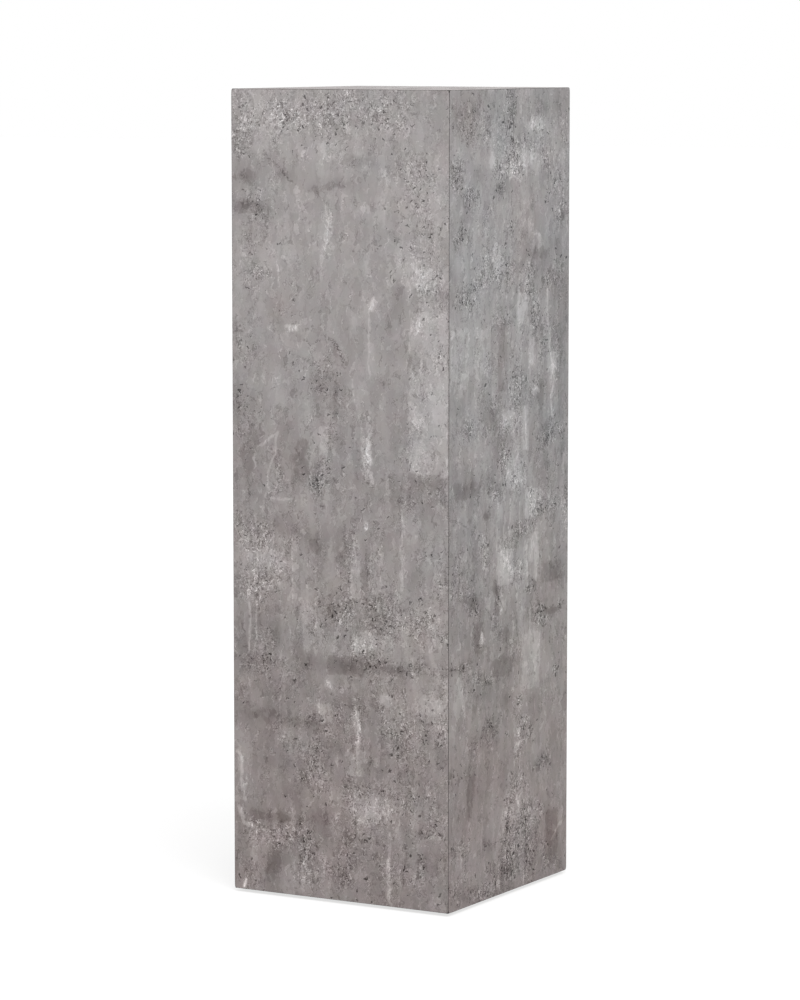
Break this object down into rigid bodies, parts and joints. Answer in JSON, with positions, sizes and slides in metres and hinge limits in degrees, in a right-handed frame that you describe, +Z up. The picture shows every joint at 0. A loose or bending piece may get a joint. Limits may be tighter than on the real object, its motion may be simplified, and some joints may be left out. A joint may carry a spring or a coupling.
{
  "type": "pillar side table",
  "caption": "Tall square pillar table or plinth, a closed box faced all over with grey concrete-look laminate.",
  "frame": {"origin": "centre of the square footprint, at the floor under the glides", "axes": "+Z up through the top, +X to the right of someone who faces the front, and the front faces -Y"},
  "size_m": [0.304, 0.304, 0.99],
  "materials": {
    "concrete_laminate": "matt high-pressure laminate with a mottled grey concrete print",
    "fibreboard": "bare medium-density fibreboard, sawn edges",
    "softwood": "planed unfinished pine",
    "beech": "compressed beech",
    "zinc_steel": "bright zinc plated",
    "glide_plastic": "black moulded polyethylene"
  },
  "bodies": {
    "root": {"front_core": "fibreboard", "right_core": "fibreboard", "back_core": "fibreboard", "left_core": "fibreboard", "top_core": "fibreboard", "mid_stiffener": "fibreboard", "base_board": "fibreboard", "front_laminate": "concrete_laminate", "right_laminate": "concrete_laminate", "back_laminate": "concrete_laminate", "left_laminate": "concrete_laminate", "top_laminate": "concrete_laminate", "lower_block_front_right": "softwood", "lower_block_back_right": "softwood", "lower_block_back_left": "softwood", "lower_block_front_left": "softwood", "upper_block_front_right": "softwood", "upper_block_back_right": "softwood", "upper_block_back_left": "softwood", "upper_block_front_left": "softwood", "base_cleat_front": "softwood", "base_cleat_right": "softwood", "base_cleat_back": "softwood", "base_cleat_left": "softwood", "top_cleat_front": "softwood", "top_cleat_right": "softwood", "top_cleat_back": "softwood", "top_cleat_left": "softwood", "corner_biscuits": "beech", "top_biscuits": "beech", "base_screws": "zinc_steel", "glide_screws": "zinc_steel", "glide_front_right": "glide_plastic", "glide_back_right": "glide_plastic", "glide_back_left": "glide_plastic", "glide_front_left": "glide_plastic"}
  },
  "joints": []
}
